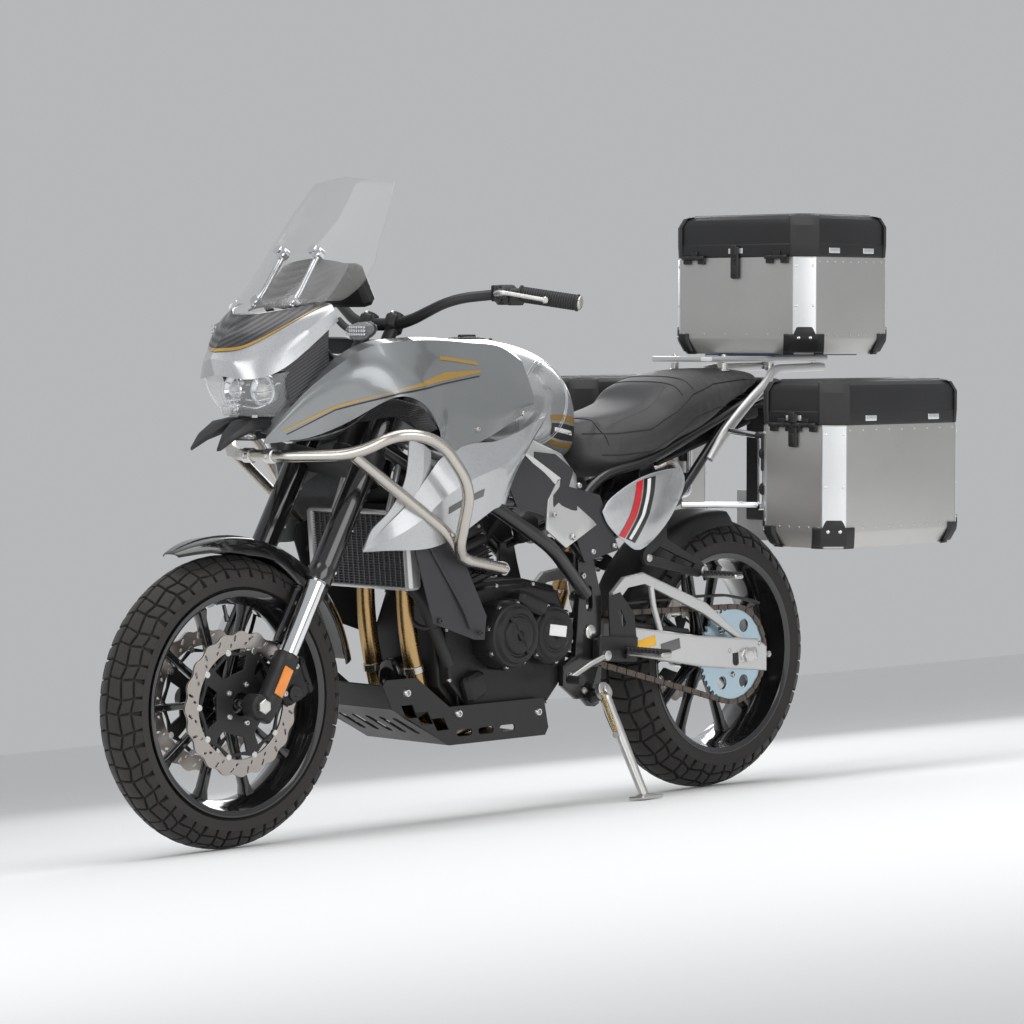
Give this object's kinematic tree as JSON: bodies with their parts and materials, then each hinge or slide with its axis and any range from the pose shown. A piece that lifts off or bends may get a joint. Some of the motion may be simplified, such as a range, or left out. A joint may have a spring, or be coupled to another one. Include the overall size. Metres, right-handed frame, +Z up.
{
  "type": "adventure motorcycle",
  "caption": "Touring motorcycle with tall screen, crash bars, skid plate and aluminium top and side cases; turning wheels, steering, fold-up side stand and hinged case lids.",
  "frame": {"origin": "on the floor, under the middle of the box around the parked motorcycle", "axes": "+X forward, +Y to the rider's left, +Z up; the motorcycle leans 8 degrees towards +Y on its side stand"},
  "size_m": [2.193, 1.0337, 1.3677],
  "materials": {
    "frame_black": "satin",
    "silver_paint": "gloss",
    "engine_black": "satin",
    "stainless": "satin",
    "header_bronze": "satin",
    "radiator_core": "matt",
    "black_plastic": "matt",
    "clear_lens": "gloss",
    "screen": "gloss",
    "display": "gloss",
    "seat_cover": "grained",
    "case_aluminium": "brushed",
    "lid_black": "satin",
    "swingarm_silver": "satin",
    "chain_steel": "satin",
    "cast_alloy": "satin",
    "wheel_black": "satin",
    "tyre_rubber": "matt",
    "disc_steel": "satin",
    "sprocket_blue": "satin",
    "hose_rubber": "matt"
  },
  "bodies": {
    "chassis": {"main_frame": "frame_black", "subframe": "frame_black", "engine_block": "engine_black", "cylinder_head": "engine_black", "engine_covers": "engine_black", "radiator": "radiator_core", "exhaust_headers": "header_bronze", "muffler": "stainless", "skid_plate": "frame_black", "crash_bars": "stainless", "fuel_tank": "silver_paint", "side_fairings": "silver_paint", "radiator_shrouds": "silver_paint", "nose_cowl": "silver_paint", "beak": "black_plastic", "headlight": "clear_lens", "windscreen": "screen", "screen_bracket": "black_plastic", "instrument_panel": "display", "turn_signals": "clear_lens", "seat": "seat_cover", "side_panels": "silver_paint", "knee_panels": "black_plastic", "luggage_rack": "swingarm_silver", "tail_unit": "black_plastic", "pannier_frames": "stainless", "top_case": "case_aluminium", "panniers": "case_aluminium", "swingarm": "swingarm_silver", "rear_shock": "frame_black", "rear_brake": "engine_black", "chain": "chain_steel", "rear_hugger": "black_plastic", "footpegs": "cast_alloy", "foot_levers": "cast_alloy"},
    "steering": {"handlebar": "frame_black", "bar_controls": "black_plastic", "fork_clamps": "frame_black", "fork_legs": "frame_black", "front_fender": "black_plastic", "front_calipers": "engine_black", "brake_hoses": "hose_rubber"},
    "front_wheel": {"front_rim": "wheel_black", "front_tyre": "tyre_rubber", "front_discs": "disc_steel"},
    "rear_wheel": {"rear_rim": "wheel_black", "rear_tyre": "tyre_rubber", "rear_sprocket": "sprocket_blue"},
    "side_stand": {"side_stand": "cast_alloy"},
    "top_case_lid": {"top_case_lid": "lid_black"},
    "left_pannier_lid": {"left_pannier_lid": "lid_black"},
    "right_pannier_lid": {"right_pannier_lid": "lid_black"}
  },
  "joints": [
    {"name": "steering_turn", "type": "hinge", "parent": "chassis", "child": "steering", "pos_m": [0.36439, 0.02574, 0.93736], "axis": [-0.4924, 0.1211, 0.8619], "range_deg": [-32, 32]},
    {"name": "front_wheel_spin", "type": "hinge", "parent": "steering", "child": "front_wheel", "pos_m": [0.7965, -0.06416, 0.29768], "axis": [0, 0.9903, -0.1392], "continuous": true},
    {"name": "rear_wheel_spin", "type": "hinge", "parent": "chassis", "child": "rear_wheel", "pos_m": [-0.6535, -0.06232, 0.31078], "axis": [0, 0.9903, -0.1392], "continuous": true},
    {"name": "side_stand_fold", "type": "hinge", "parent": "chassis", "child": "side_stand", "pos_m": [-0.1645, 0.08748, 0.24142], "axis": [0, 0.9563, 0.2924], "range_deg": [0, 85]},
    {"name": "top_case_lid_hinge", "type": "hinge", "parent": "chassis", "child": "top_case_lid", "pos_m": [-0.768, 0.06435, 1.21209], "axis": [0, 0.9903, -0.1392], "range_deg": [0, 95]},
    {"name": "left_pannier_lid_hinge", "type": "hinge", "parent": "chassis", "child": "left_pannier_lid", "pos_m": [-0.533, 0.38967, 0.78566], "axis": [0, 0.9903, -0.1392], "range_deg": [0, 95]},
    {"name": "right_pannier_lid_hinge", "type": "hinge", "parent": "chassis", "child": "right_pannier_lid", "pos_m": [-0.533, -0.36591, 0.89185], "axis": [0, 0.9903, -0.1392], "range_deg": [0, 95]}
  ]
}
